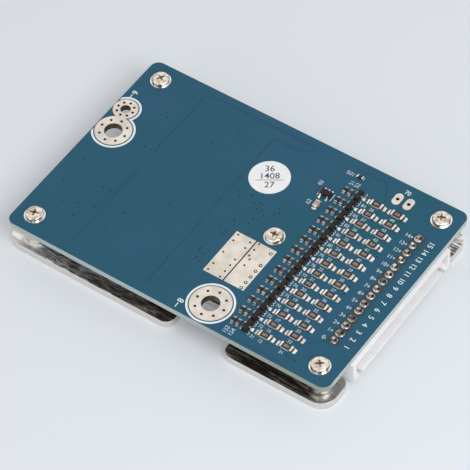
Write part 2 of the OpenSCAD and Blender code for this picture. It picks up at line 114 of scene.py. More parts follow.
def new_group(name, inputs, outputs):
    """An empty shader group with named sockets."""
    tree = bpy.data.node_groups.new(name, "ShaderNodeTree")
    kinds = {"colour": "NodeSocketColor", "value": "NodeSocketFloat", "vector": "NodeSocketVector"}
    for socket, kind in inputs:
        tree.interface.new_socket(socket, in_out="INPUT", socket_type=kinds[kind])
    for socket, kind in outputs:
        tree.interface.new_socket(socket, in_out="OUTPUT", socket_type=kinds[kind])
    return tree, tree.nodes.new("NodeGroupInput"), tree.nodes.new("NodeGroupOutput")


def add_node(tree, kind, settings=(), values=()):
    """A node with its settings and its plain input values."""
    made = tree.nodes.new(kind)
    for name, value in dict(settings).items():
        setattr(made, name, value)
    for name, value in dict(values).items():
        made.inputs[name].default_value = value
    return made


def wire(tree, *links):
    """Joins sockets: each link is a node and its output, then a node and its input."""
    for start, output, end, entry in links:
        tree.links.new(start.outputs[output], end.inputs[entry])


def mottle_group():
    """Two shades of one finish, blended in soft clouds."""
    tree, given, out = new_group(
        "mottle",
        [("Vector", "vector"), ("Scale", "value"), ("Low", "value"), ("High", "value"),
         ("Shade", "colour"), ("Tint", "colour")],
        [("Colour", "colour"), ("Cloud", "value")],
    )
    noise = add_node(tree, "ShaderNodeTexNoise", values={"Detail": 4.0, "Roughness": 0.6})
    spread = add_node(tree, "ShaderNodeMapRange", {"interpolation_type": "SMOOTHSTEP"})
    blend = add_node(tree, "ShaderNodeMix", {"data_type": "RGBA"})
    wire(tree,
         (given, "Vector", noise, "Vector"), (given, "Scale", noise, "Scale"),
         (noise, "Fac", spread, "Value"),
         (given, "Low", spread, "From Min"), (given, "High", spread, "From Max"),
         (spread, "Result", blend, "Factor"),
         (given, "Shade", blend, 6), (given, "Tint", blend, 7),
         (blend, 2, out, "Colour"), (spread, "Result", out, "Cloud"))
    return tree


def grain_group():
    """Height and roughness of a fine grain, stretched along one axis by its own vector."""
    tree, given, out = new_group(
        "grain",
        [("Vector", "vector"), ("Scale", "value"), ("Depth", "value"),
         ("Smooth", "value"), ("Rough", "value")],
        [("Height", "value"), ("Roughness", "value")],
    )
    fine = add_node(tree, "ShaderNodeTexNoise", values={"Detail": 3.0, "Roughness": 0.7})
    height = add_node(tree, "ShaderNodeMath", {"operation": "MULTIPLY"})
    rough = add_node(tree, "ShaderNodeMapRange", values={"From Min": 0.3, "From Max": 0.7})
    wire(tree,
         (given, "Vector", fine, "Vector"), (given, "Scale", fine, "Scale"),
         (fine, "Fac", height, 0), (given, "Depth", height, 1),
         (fine, "Fac", rough, "Value"),
         (given, "Smooth", rough, "To Min"), (given, "Rough", rough, "To Max"),
         (height, 0, out, "Height"), (rough, "Result", out, "Roughness"))
    return tree


MOTTLE = mottle_group()
GRAIN = grain_group()


class Finish:
    """A material under construction: its tree, its shader and the groups placed in it."""

    def __init__(self, name, metallic=0.0, specular=0.5):
        self.material = bpy.data.materials.new(name)
        self.material.use_nodes = True
        self.tree = self.material.node_tree
        self.shader = self.tree.nodes["Principled BSDF"]
        self.shader.inputs["Metallic"].default_value = metallic
        self.shader.inputs["Specular IOR Level"].default_value = specular
        self.where = self.node("ShaderNodeTexCoord").outputs["Object"]

    def node(self, kind, settings=(), values=()):
        """A new node of this material."""
        return add_node(self.tree, kind, settings, values)

    def link(self, start, end):
        """Joins an output to an input."""
        self.tree.links.new(start, end)

    def stretched(self, scale):
        """Object coordinates stretched along the axes."""
        mapping = self.node("ShaderNodeMapping", values={"Scale": scale})
        self.link(self.where, mapping.inputs["Vector"])
        return mapping.outputs["Vector"]

    def mottle(self, scale, low, high, shade, tint, vector=None):
        """Places the mottle group, and returns its colour and its cloud."""
        group = self.node("ShaderNodeGroup", {"node_tree": MOTTLE})
        self.link(vector or self.where, group.inputs["Vector"])
        for name, value in (("Scale", scale), ("Low", low), ("High", high)):
            group.inputs[name].default_value = value
        group.inputs["Shade"].default_value = (*shade, 1)
        group.inputs["Tint"].default_value = (*tint, 1)
        return group.outputs["Colour"], group.outputs["Cloud"]

    def cloud(self, scale, low, high, vector=None):
        """A mask in soft clouds."""
        return self.mottle(scale, low, high, (0, 0, 0), (1, 1, 1), vector)[1]

    def grain(self, scale, depth, smooth, rough, vector=None):
        """Places the grain group: its roughness and its bump go to the shader."""
        group = self.node("ShaderNodeGroup", {"node_tree": GRAIN})
        self.link(vector or self.where, group.inputs["Vector"])
        for name, value in (("Scale", scale), ("Depth", depth), ("Smooth", smooth), ("Rough", rough)):
            group.inputs[name].default_value = value
        bump = self.node("ShaderNodeBump", values={"Distance": MM, "Strength": 1.0})
        self.link(group.outputs["Height"], bump.inputs["Height"])
        self.link(bump.outputs["Normal"], self.shader.inputs["Normal"])
        self.link(group.outputs["Roughness"], self.shader.inputs["Roughness"])
        return group

    def colour(self, socket):
        """Gives the shader its colour."""
        self.link(socket, self.shader.inputs["Base Color"])

    def mix(self, factor, first, second):
        """Blends two colours, each a socket or a plain colour, by a mask."""
        blend = self.node("ShaderNodeMix", {"data_type": "RGBA"})
        self.link(factor, blend.inputs["Factor"])
        for socket, value in ((blend.inputs[6], first), (blend.inputs[7], second)):
            if isinstance(value, tuple):
                socket.default_value = (*value, 1)
            else:
                self.link(value, socket)
        return blend.outputs[2]

    def ramp(self, socket, low, high):
        """A soft step from 0 at low to 1 at high."""
        step = self.node("ShaderNodeMapRange", {"interpolation_type": "SMOOTHSTEP"},
                         {"From Min": low, "From Max": high})
        self.link(socket, step.inputs["Value"])
        return step.outputs["Result"]

    def math(self, operation, first, second=0.0):
        """One sum of two values, each a socket or a number."""
        node = self.node("ShaderNodeMath", {"operation": operation})
        for socket, value in ((node.inputs[0], first), (node.inputs[1], second)):
            if isinstance(value, (int, float)):
                socket.default_value = value
            else:
                self.link(value, socket)
        return node.outputs[0]

    def both(self, first, *others):
        """Where all of the masks hold."""
        for mask in others:
            first = self.math("MULTIPLY", first, mask)
        return first

    def inverse(self, mask):
        """Where a mask doesn't hold."""
        return self.math("SUBTRACT", 1.0, mask)

    def axis(self, name):
        """One Object coordinate."""
        split = self.node("ShaderNodeSeparateXYZ")
        self.link(self.where, split.inputs["Vector"])
        return split.outputs[name]

    def normal(self, name):
        """How far a face looks along one axis, from -1 to 1."""
        geometry = self.node("ShaderNodeNewGeometry")
        split = self.node("ShaderNodeSeparateXYZ")
        self.link(geometry.outputs["Normal"], split.inputs["Vector"])
        return split.outputs[name]

    def along(self, name, near, far):
        """0 up to one line across the board and 1 from the next one on, along X or Y in millimetres."""
        corner = {"X": CORNER.x, "Y": CORNER.y}[name]
        return self.ramp(self.axis(name), corner + near * MM, corner + far * MM)

    def past(self, first, length):
        """How far a place lies along Y beyond a row that starts at first."""
        half = length / 2
        from_middle = self.math("SUBTRACT", self.axis("Y"), spot(0, first + half).y)
        return self.math("SUBTRACT", self.math("ABSOLUTE", from_middle), half * MM)

    def fading(self, distance, near, far):
        """1 up to the near distance and 0 from the far one on, in millimetres."""
        return self.inverse(self.ramp(distance, near * MM, far * MM))

    def facing_up(self):
        """1 on faces that look up or down, 0 on side walls."""
        return self.ramp(self.math("ABSOLUTE", self.normal("Z")), 0.55, 0.8)


# ---------------------------------------------------------------- finishes


def solder_mask():
    """Satin teal mask over the copper, bare laminate on the edges, burnt fluxes by the pins, and residue with
    painted shade round and between the transistors.
    """
    finish = Finish("solder_mask", specular=0.22)
    teal, _ = finish.mottle(45.0, 0.35, 0.7, (0.0125, 0.094, 0.146), (0.019, 0.097, 0.166))
    laminate, _ = finish.mottle(900.0, 0.3, 0.7, (0.41, 0.475, 0.46), (0.52, 0.585, 0.57),
                                finish.stretched((1, 1, 6)))
    right_front = finish.both(finish.along("X", 45, 82), finish.inverse(finish.along("Y", 1, 4)))
    laminate = finish.mix(right_front, laminate, (0.32, 0.354, 0.29))
    patches = finish.math("ADD", finish.math("MULTIPLY", finish.cloud(900.0, 0.36, 0.62), 0.6), 0.4)

    across = finish.math("SUBTRACT", finish.axis("X"), spot(PIN_X, 0).x)
    along = finish.math("PINGPONG", finish.math("SUBTRACT", finish.axis("Y"), spot(0, FIRST_PIN).y),
                        PIN_PITCH / 2 * MM)
    from_pin = finish.math("SQRT", finish.math("ADD", finish.math("MULTIPLY", across, across),
                                               finish.math("MULTIPLY", along, along)))
    past_pins = finish.past(FIRST_PIN, (PINS - 1) * PIN_PITCH)
    burn = finish.both(finish.fading(from_pin, 1.0, 2.2), finish.fading(past_pins, 0.6, 1.8), patches)

    # Residue with painted shade: the mask darkens under and between the transistor bodies.
    from_row = finish.math("SUBTRACT", finish.axis("X"), spot(middle("balance_transistors").x, 0).x)
    from_row = finish.math("ABSOLUTE", from_row)
    past_rows = finish.past(FIRST_ROW, (ROWS - 1) * ROW_PITCH)
    residue = finish.both(finish.fading(from_row, 0.6, 1.25), finish.fading(past_rows, 1.2, 2.0), patches)

    face = finish.mix(finish.math("MULTIPLY", burn, 0.95), teal, (0.040, 0.036, 0.032))
    face = finish.mix(finish.math("MULTIPLY", residue, 0.9), face, (0.030, 0.022, 0.018))
    finish.colour(finish.mix(finish.facing_up(), laminate, face))
    finish.grain(1500.0, 0.006, 0.30, 0.42)
    return finish.material


def plain_finish(name, shade, tint, scale, grain, metallic=0.0, specular=0.5):
    """A mottled colour with a fine grain: grain holds its scale, depth, smoothest and roughest."""
    finish = Finish(name, metallic, specular)
    colour, _ = finish.mottle(scale, 0.35, 0.65, shade, tint)
    finish.colour(colour)
    finish.grain(*grain)
    return finish.material


def solder_finish(name, shade, tint, painted_shade, scale, smooth, rough, side=-1.0):
    """Bright solder, with painted shade on walls that stand nearly upright and on those turned to one side:
    -1 or 1 along X.
    """
    finish = Finish(name, metallic=1.0)
    colour, _ = finish.mottle(scale, 0.35, 0.65, shade, tint)
    sideways = finish.normal("X")
    # Painted shade: upright walls and walls turned to one side take the dark shade colour.
    shaded_side = finish.ramp(finish.math("MULTIPLY", sideways, side), 0.3, 0.75)
    shaded_walls = finish.ramp(finish.math("ABSOLUTE", sideways), 0.82, 0.97)
    finish.colour(finish.mix(finish.math("MAXIMUM", shaded_side, shaded_walls), colour, painted_shade))
    finish.grain(1600.0, 0.05, smooth, rough)
    return finish.material


def screw_nickel():
    """Bright nickel on top, with painted shade and reflection as dark brown patches on the head's shoulder.
    """
    finish = Finish("nickel", metallic=1.0)
    top, _ = finish.mottle(900.0, 0.35, 0.65, (0.50, 0.40, 0.31), (0.90, 0.84, 0.77))
    # Painted shade: the shoulder, turned from up, gets dark brown patches, and the top stays bright.
    shoulder, _ = finish.mottle(520.0, 0.42, 0.58, (0.09, 0.055, 0.035), (0.92, 0.87, 0.81))
    finish.colour(finish.mix(finish.ramp(finish.normal("Z"), 0.55, 0.95), shoulder, top))
    finish.grain(1800.0, 0.02, 0.20, 0.36)
    return finish.material


def plate_aluminium():
    """Rolled faces with streaks and dark flecks: pale at the left, painted shade and reflection of the board
    far in under it, darker grey at the right front.
    """
    finish = Finish("plate_aluminium", metallic=0.6)
    streaks = finish.stretched((25, 260, 260))
    pale, _ = finish.mottle(3.0, 0.40, 0.57, (0.62, 0.56, 0.50), (0.97, 0.95, 0.93), streaks)
    # Painted shade and reflection of the board: a dark streaky colour for the face far in under it.
    shade_of_board, _ = finish.mottle(4.0, 0.42, 0.64, (0.075, 0.056, 0.042), (0.52, 0.44, 0.365), streaks)
    # A darker grey for the right front, past the board.
    right_front_grey, _ = finish.mottle(60.0, 0.35, 0.65, (0.25, 0.235, 0.215), (0.37, 0.35, 0.325))
    flecks = finish.cloud(1.0, 0.42, 0.58, finish.stretched((420, 2900, 2900)))
    past_board = finish.along("X", 84, 89)
    # Where the painted shade of the board lies: far in under the board, short of its right end.
    under_board_mask = finish.both(finish.along("X", 8, 46), finish.inverse(past_board))
    # Dark streaky flecks, fading out towards the left end.
    dark_flecks = finish.math("MULTIPLY", finish.both(flecks, finish.along("X", 3, 11)), 0.85)
    rolled = finish.mix(dark_flecks, finish.mix(under_board_mask, pale, shade_of_board), (0.030, 0.020, 0.013))
    front = finish.inverse(finish.along("Y", 14, 36))
    face = finish.mix(finish.both(past_board, front), rolled, right_front_grey)
    up = finish.facing_up()
    finish.colour(finish.mix(up, (0.71, 0.69, 0.67), face))

    group = finish.grain(3.5, 0.0015, 0.22, 0.38, streaks)
    blotches = finish.math("MULTIPLY", finish.cloud(160.0, 0.4, 0.75), 0.12)
    edges = finish.math("MULTIPLY", finish.inverse(up), 0.2)
    rough = finish.math("ADD", finish.math("ADD", group.outputs["Roughness"], blotches), edges)
    finish.link(rough, finish.shader.inputs["Roughness"])
    return finish.material


def make_finishes():
    """Every finish of the object, by name."""
    return {
        "mask": solder_mask(),
        "aluminium": plate_aluminium(),
        "tin": plain_finish("tin", (0.65, 0.585, 0.515), (0.79, 0.73, 0.65), 260.0,
                            (700.0, 0.03, 0.30, 0.48), metallic=1.0),
        # Painted shade: the tinned hole barrels are coloured dark brown for the shade deep in the holes.
        "barrel": plain_finish("shaded_hole_barrel", (0.09, 0.068, 0.055), (0.27, 0.22, 0.18), 600.0,
                               (900.0, 0.03, 0.35, 0.5), metallic=1.0),
        # The third colour of each solder finish is its painted shade.
        "solder": solder_finish("solder", (0.60, 0.55, 0.51), (0.90, 0.88, 0.85), (0.12, 0.10, 0.085),
                                700.0, 0.18, 0.34),
        "dull_solder": solder_finish("dull_solder", (0.30, 0.28, 0.26), (0.56, 0.54, 0.51),
                                     (0.09, 0.075, 0.065), 1100.0, 0.3, 0.45),
        "joint": solder_finish("pin_joint", (0.12, 0.09, 0.075), (0.70, 0.63, 0.57), (0.085, 0.065, 0.052),
                               520.0, 0.28, 0.48, side=1.0),
        "bright_tin": plain_finish("bright_tin", (0.78, 0.75, 0.72), (0.95, 0.93, 0.91), 500.0,
                                   (900.0, 0.02, 0.25, 0.40), metallic=1.0),
        "nickel": screw_nickel(),
        # Painted shade: the cross recess is coloured brown for the shade inside it.
        "recess": plain_finish("screw_recess", (0.24, 0.175, 0.12), (0.48, 0.38, 0.30), 900.0,
                               (1800.0, 0.012, 0.35, 0.5), metallic=1.0),
        "standoff": plain_finish("standoff_plate", (0.74, 0.73, 0.71), (0.86, 0.85, 0.83), 300.0,
                                 (1500.0, 0.01, 0.14, 0.26), metallic=1.0),
        "nylon": plain_finish("nylon", (0.81, 0.805, 0.81), (0.88, 0.87, 0.875), 120.0,
                              (2500.0, 0.01, 0.38, 0.52)),
        "alumina": plain_finish("alumina", (0.52, 0.49, 0.45), (0.64, 0.61, 0.57), 800.0,
                                (3000.0, 0.01, 0.45, 0.6)),
        "glaze": plain_finish("resistor_glaze", (0.014, 0.010, 0.008), (0.032, 0.023, 0.018), 900.0,
                              (2500.0, 0.008, 0.22, 0.38), specular=0.35),
        "mould": plain_finish("mould_compound", (0.011, 0.0085, 0.008), (0.036, 0.024, 0.020), 900.0,
                              (4000.0, 0.02, 0.45, 0.62), specular=0.2),
        "ceramic": plain_finish("capacitor_ceramic", (0.050, 0.038, 0.031), (0.105, 0.080, 0.066), 900.0,
                                (3000.0, 0.01, 0.30, 0.45), specular=0.3),
        "tan_ceramic": plain_finish("tan_ceramic", (0.36, 0.26, 0.17), (0.52, 0.39, 0.27), 900.0,
                                    (3000.0, 0.01, 0.35, 0.5)),
        "ink": plain_finish("board_ink", (0.82, 0.87, 0.89), (0.93, 0.95, 0.96), 2500.0,
                            (4000.0, 0.02, 0.5, 0.65)),
        "number_ink": plain_finish("number_ink", (0.38, 0.52, 0.60), (0.70, 0.79, 0.84), 1500.0,
                                   (4000.0, 0.02, 0.5, 0.65)),
        "code": plain_finish("resistor_code", (0.27, 0.205, 0.155), (0.41, 0.33, 0.265), 2500.0,
                             (4000.0, 0.01, 0.5, 0.65)),
        "paper": plain_finish("label_paper", (0.88, 0.88, 0.885), (0.93, 0.93, 0.925), 400.0,
                              (3500.0, 0.01, 0.5, 0.62)),
        "label_ink": plain_finish("label_ink", (0.035, 0.035, 0.04), (0.07, 0.07, 0.08), 900.0,
                                  (4000.0, 0.01, 0.5, 0.62)),
        "pad_via": plain_finish("pad_via", (0.020, 0.013, 0.009), (0.050, 0.034, 0.024), 900.0,
                                (3000.0, 0.02, 0.4, 0.6), specular=0.2),
        "mask_via": plain_finish("mask_via", (0.006, 0.022, 0.030), (0.009, 0.036, 0.050), 900.0,
                                 (3000.0, 0.02, 0.4, 0.6), specular=0.2),
        "trench": plain_finish("mask_over_laminate", (0.014, 0.074, 0.128), (0.018, 0.084, 0.146), 300.0,
                               (1500.0, 0.006, 0.34, 0.48), specular=0.22),
        # Painted shade for the hollows beside the chip caps and the split between the sense pads.
        "gap": plain_finish("painted_shade_in_gaps", (0.030, 0.024, 0.020), (0.052, 0.043, 0.036), 700.0,
                            (2000.0, 0.01, 0.3, 0.5), specular=0.3),
        "silicone": plain_finish("silicone_pad", (0.26, 0.36, 0.46), (0.34, 0.44, 0.54), 300.0,
                                 (2000.0, 0.02, 0.55, 0.7)),
    }


FINISH = make_finishes()

# ---------------------------------------------------------------- mesh helpers


def new_object(name, data):
    """A new object in the scene, at the origin."""
    made = bpy.data.objects.new(name, data)
    bpy.context.scene.collection.objects.link(made)
    return made


def worked_out(obj):
    """The plain mesh that an object's curves or modifiers come out as."""
    bpy.context.view_layer.update()
    graph = bpy.context.evaluated_depsgraph_get()
    return bpy.data.meshes.new_from_object(obj.evaluated_get(graph))


def as_object(bm, name, finish):
    """Turns a mesh under construction, in millimetres, into an object in metres with one finish."""
    bmesh.ops.recalc_face_normals(bm, faces=bm.faces)
    mesh = bpy.data.meshes.new(name)
    bm.to_mesh(mesh)
    bm.free()
    mesh.transform(Matrix.Scale(MM, 4))
    mesh.materials.append(FINISH[finish])
    return new_object(name, mesh)


def smooth(obj, angle=40.0):
    """Smooth shading, apart from edges sharper than the angle."""
    mesh = obj.data
    mesh.shade_smooth()
    mesh.set_sharp_from_angle(angle=math.radians(angle))
    return obj


def keep(obj, replaced=()):
    """Hands a finished piece to the frame."""
    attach(obj, BODY)
    if replaced:
        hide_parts(*replaced)


def moved(obj, x=0.0, y=0.0, z=0.0):
    """Moves a mesh built at the origin to a place on the board."""
    obj.data.transform(Matrix.Translation(spot(x, y, z)))
    return obj


def add_prism(bm, outline, low, high, axis="Z"):
    """Adds an outline pushed out from low to high along Z or Y, and returns its vertices."""
    def place(u, v, w):
        return (u, v, w) if axis == "Z" else (u, w, v)

    ends = [[bm.verts.new(place(u, v, w)) for u, v in outline] for w in (low, high)]
    bm.faces.new(ends[0])
    bm.faces.new(reversed(ends[1]))
    for i in range(len(outline)):
        j = (i + 1) % len(outline)
        bm.faces.new((ends[0][i], ends[1][i], ends[1][j], ends[0][j]))
    return ends[0] + ends[1]


def box_outline(length, width):
    """The corners of a rectangle round the origin."""
    u, v = length / 2, width / 2
    return [(-u, -v), (u, -v), (u, v), (-u, v)]


def add_box(bm, length, width, low, high, centre=(0.0, 0.0)):
    """Adds a box with its middle on a point of the board."""
    outline = [(u + centre[0], v + centre[1]) for u, v in box_outline(length, width)]
    return add_prism(bm, outline, low, high)


def round_edges(bm, size, segments=2, sharper_than=30.0):
    """Rounds every edge that is sharper than the angle."""
    limit = math.radians(sharper_than)
    edges = [e for e in bm.edges if len(e.link_faces) == 2 and e.calc_face_angle() > limit]
    bmesh.ops.bevel(bm, geom=edges, offset=size, segments=segments, profile=0.5,
                    affect="EDGES", clamp_overlap=True)


def arc(centre, radius, start, end, steps):
    """Points on an arc, angles in degrees."""
    points = []
    for i in range(steps + 1):
        angle = math.radians(start + (end - start) * i / steps)
        points.append((centre[0] + radius * math.cos(angle), centre[1] + radius * math.sin(angle)))
    return points


def ring_of(centre, radius, count):
    """Places evenly round a centre."""
    return arc(centre, radius, 0, 360, count)[:-1]


def add_turned(bm, profile, steps):
    """Adds a profile of (radius, height) points turned round Z. A radius of 0 closes the shape."""
    rings = []
    for radius, height in profile:
        if radius < 1e-6:
            rings.append([bm.verts.new((0, 0, height))])
        else:
            rings.append([bm.verts.new((u, v, height)) for u, v in ring_of((0, 0), radius, steps)])
    for low, high in zip(rings, rings[1:]):
        for i in range(steps):
            j = (i + 1) % steps
            corners = [low[i % len(low)], low[j % len(low)], high[j % len(high)], high[i % len(high)]]
            corners = list(dict.fromkeys(corners))
            if len(corners) > 2:
                bm.faces.new(corners)


def softened_copy(node, name, finish, size, segments=3):
    """A copy of a CAD node with its doubles merged, its flats made whole and its edges rounded."""
    bm = bmesh.new()
    bm.from_mesh(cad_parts[node].data)
    bmesh.ops.scale(bm, vec=(1 / MM,) * 3, verts=bm.verts)
    bmesh.ops.remove_doubles(bm, verts=bm.verts, dist=0.002)
    bmesh.ops.dissolve_limit(bm, angle_limit=math.radians(2), verts=bm.verts, edges=bm.edges)
    round_edges(bm, size, segments)
    return smooth(as_object(bm, name, finish))


# ---------------------------------------------------------------- geometry nodes


def new_tree(name, inputs, result):
    """An empty geometry tree with named sockets."""
    tree = bpy.data.node_groups.new(name, "GeometryNodeTree")
    kinds = {"geometry": "NodeSocketGeometry", "int": "NodeSocketInt", "float": "NodeSocketFloat",
             "vector": "NodeSocketVector", "material": "NodeSocketMaterial"}
    for socket, kind in inputs:
        tree.interface.new_socket(socket, in_out="INPUT", socket_type=kinds[kind])
    tree.interface.new_socket(result, in_out="OUTPUT", socket_type="NodeSocketGeometry")
    return tree, tree.nodes.new("NodeGroupInput"), tree.nodes.new("NodeGroupOutput")


def finish_tree(tree, given, out, copies):
    """Closes a tree: the copies become one mesh of one material."""
    realize = tree.nodes.new("GeometryNodeRealizeInstances")
    paint = tree.nodes.new("GeometryNodeSetMaterial")
    wire(tree,
         (copies, "Instances", realize, "Geometry"),
         (realize, "Geometry", paint, "Geometry"), (given, "Material", paint, "Material"),
         (paint, "Geometry", out, 0))


def row_tree():
    """Repeats a part along Y, each copy turned, shifted and grown a little by chance."""
    tree, given, out = new_tree(
        "parts_in_a_row",
        [("Part", "geometry"), ("Count", "int"), ("Start", "vector"), ("Step", "vector"),
         ("Turn", "float"), ("Drift", "vector"), ("Growth", "float"), ("Seed", "int"),
         ("Material", "material")],
        "Parts",
    )
    line = add_node(tree, "GeometryNodeMeshLine", {"mode": "OFFSET"})
    drift = add_node(tree, "FunctionNodeRandomValue", {"data_type": "FLOAT_VECTOR"})
    opposite = add_node(tree, "ShaderNodeVectorMath", {"operation": "SCALE"}, {"Scale": -1.0})
    shifted = tree.nodes.new("GeometryNodeSetPosition")
    wire(tree,
         (given, "Count", line, "Count"), (given, "Start", line, "Start Location"),
         (given, "Step", line, "Offset"),
         (given, "Drift", opposite, 0), (opposite, "Vector", drift, 0), (given, "Drift", drift, 1),
         (given, "Seed", drift, "Seed"),
         (line, "Mesh", shifted, "Geometry"), (drift, 0, shifted, "Offset"))

    turn = add_node(tree, "FunctionNodeRandomValue", {"data_type": "FLOAT"})
    back = add_node(tree, "ShaderNodeMath", {"operation": "MULTIPLY"}, {1: -1.0})
    about_z = tree.nodes.new("ShaderNodeCombineXYZ")
    wire(tree,
         (given, "Turn", back, 0), (back, 0, turn, 2), (given, "Turn", turn, 3),
         (given, "Seed", turn, "Seed"), (turn, 1, about_z, "Z"))

    growth = add_node(tree, "FunctionNodeRandomValue", {"data_type": "FLOAT"})
    least = add_node(tree, "ShaderNodeMath", {"operation": "SUBTRACT"}, {0: 1.0})
    most = add_node(tree, "ShaderNodeMath", {"operation": "ADD"}, {0: 1.0})
    wire(tree,
         (given, "Growth", least, 1), (least, 0, growth, 2),
         (given, "Growth", most, 1), (most, 0, growth, 3),
         (given, "Seed", growth, "Seed"))

    copies = tree.nodes.new("GeometryNodeInstanceOnPoints")
    wire(tree,
         (shifted, "Geometry", copies, "Points"), (given, "Part", copies, "Instance"),
         (about_z, "Vector", copies, "Rotation"), (growth, 1, copies, "Scale"))
    finish_tree(tree, given, out, copies)
    return tree


def via_tree():
    """Sets a short plug on every point of a mesh."""
    tree, given, out = new_tree(
        "vias",
        [("Places", "geometry"), ("Radius", "float"), ("Height", "float"), ("Sides", "int"),
         ("Material", "material")],
        "Vias",
    )
    plug = tree.nodes.new("GeometryNodeMeshCylinder")
    copies = tree.nodes.new("GeometryNodeInstanceOnPoints")
    wire(tree,
         (given, "Radius", plug, "Radius"), (given, "Height", plug, "Depth"),
         (given, "Sides", plug, "Vertices"),
         (given, "Places", copies, "Points"), (plug, "Mesh", copies, "Instance"))
    finish_tree(tree, given, out, copies)
    return tree


ROW_TREE = row_tree()
VIA_TREE = via_tree()


def run_tree(obj, tree, values):
    """Runs a tree on an object and leaves the plain mesh that comes out."""
    modifier = obj.modifiers.new(tree.name, "NODES")
    modifier.node_group = tree
    sockets = {item.name: item.identifier for item in tree.interface.items_tree if item.in_out == "INPUT"}
    for name, value in values.items():
        modifier[sockets[name]] = value
    result = worked_out(obj)
    obj.modifiers.remove(modifier)
    obj.data = result


def keep_in_rows(name, part, finish, slot, replaced, x, rows, turn, drift, seed, growth=0.0):
    """Repeats a part, built at the origin, along Y on the board, and keeps what comes out."""
    first, pitch, count = rows
    run_tree(part, ROW_TREE, {
        "Count": count,
        "Start": spot(x, first),
        "Step": (0.0, pitch * MM, 0.0),
        "Turn": math.radians(turn),
        "Drift": (drift * MM, drift * MM, 0.0),
        "Growth": growth,
        "Seed": seed,
        "Material": FINISH[finish],
    })
    part.name = name
    keep(part, replaced)


def keep_at_spots(name, finish, places, radius, height, z, sides=14):
    """Sets plugs at places on the board, and keeps what comes out."""
    mesh = bpy.data.meshes.new(name)
    mesh.from_pydata([spot(x, y, z) for x, y in places], [], [])
    points = new_object(name, mesh)
    run_tree(points, VIA_TREE, {
        "Radius": radius * MM,
        "Height": height * MM,
        "Sides": sides,
        "Material": FINISH[finish],
    })
    keep(points)


# ---------------------------------------------------------------- board, plate, screws


def paint(node, finish):
    """Gives a CAD node its finish."""
    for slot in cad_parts[node].material_slots:
        slot.material = FINISH[finish]


def paint_frame_nodes():
    """Finishes of the CAD nodes that are shown as they are."""
    tinned = ("battery_wire_pad", "pack_wire_pads", "sense_pads", "probe_pads", "connector_pins",
              "charge_switch_frames", "discharge_switch_frames", "sense_resistor_terminals",
              "monitor_chip_leads", "driver_chip_leads")
    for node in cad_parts:
        if node in tinned:
            paint(node, "tin")
        elif "switch" in node or node.endswith("chip"):
            paint(node, "mould")
        elif node.startswith("sense_resistor"):
            paint(node, "glaze")
    paint("screw_pads", "bright_tin")
    paint("board", "mask")
    paint("thermal_pad", "silicone")
    paint("round_label", "paper")
    paint("pad_outlines", "ink")


def make_plate():
    """The heat plate with its rolled-over edges."""
    plate = softened_copy("heat_plate", "plate_with_soft_edges", "aluminium", 0.45, 4)
    keep(plate, ["heat_plate"])


def make_standoffs():
    """The turned standoffs with their rims broken."""
    standoffs = softened_copy("standoffs", "turned_standoffs", "standoff", 0.15, 2)
    keep(standoffs, ["standoffs"])


def screw_profile():
    """Shank, flat underside, straight edge, round shoulder and a nearly flat top."""
    shank_r = 1.245
    shank_end = -6
    point = 0.4
    round_r = 0.5
    rim = 0.06
    shoulder = arc((SCREW_HEAD_R - round_r, SCREW_HEAD_H - 0.05 - round_r), round_r, 0, 80, 7)
    return [(0, shank_end), (0.9, shank_end), (shank_r, shank_end + point), (shank_r, 0),
            (SCREW_HEAD_R - rim, 0), (SCREW_HEAD_R, rim), *shoulder, (1.0, SCREW_HEAD_H), (0, SCREW_HEAD_H)]


def make_cross_cutter():
    """The shape of the cross recess: two wedge-shaped arms and a tapering middle."""
    arm_half = 0.21
    floor = 0.42
    above = 1.3
    wedge = [(-0.7, floor), (0.7, floor), (1.22, above), (-1.22, above)]
    cut = bmesh.new()
    for turn in (0, 90):
        verts = add_prism(cut, wedge, -arm_half, arm_half, "Y")
        bmesh.ops.rotate(cut, verts=verts, matrix=Matrix.Rotation(math.radians(turn), 3, "Z"))
    add_turned(cut, [(0, floor - 0.12), (0.36, floor - 0.06), (0.55, above), (0, above)], 24)
    return as_object(cut, "cross_cutter", "recess")


def make_screws():
    """Pan-head screws, each with its cross recess at its own angle."""
    angles = (18, 38, 27, 62, 8)
    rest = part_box("screws")[1].z - SCREW_HEAD_H * MM
    whole = bmesh.new()
    for (x, y), angle in zip(SCREWS, angles):
        turned = bmesh.new()
        add_turned(turned, screw_profile(), 48)
        blank = as_object(turned, "screw_blank", "nickel")
        cutter = make_cross_cutter()
        recess = blank.modifiers.new("cross_recess", "BOOLEAN")
        recess.object = cutter
        recess.operation = "DIFFERENCE"
        recess.solver = "EXACT"
        recess.use_self = True
        recess.material_mode = "TRANSFER"
        mesh = worked_out(blank)
        mesh.transform(Matrix.Rotation(math.radians(angle), 4, "Z"))
        place = spot(x, y)
        mesh.transform(Matrix.Translation((place.x, place.y, rest)))
        whole.from_mesh(mesh)
        for spare in (blank, cutter):
            bpy.data.objects.remove(spare)
    mesh = bpy.data.meshes.new("pan_head_screws")
    whole.to_mesh(mesh)
    whole.free()
    mesh.materials.append(FINISH["nickel"])
    mesh.materials.append(FINISH["recess"])
    keep(smooth(new_object("pan_head_screws", mesh), 35), ["screws"])


def add_tube(bm, centre, inner, outer, low, high, steps=48):
    """Adds a short tube with closed ends."""
    rings = []
    for radius, height in ((inner, low), (outer, low), (outer, high), (inner, high)):
        rings.append([bm.verts.new((u, v, height)) for u, v in ring_of(centre, radius, steps)])
    for k in range(4):
        first, second = rings[k], rings[(k + 1) % 4]
        for i in range(steps):
            j = (i + 1) % steps
            bm.faces.new((first[i], first[j], second[j], second[i]))


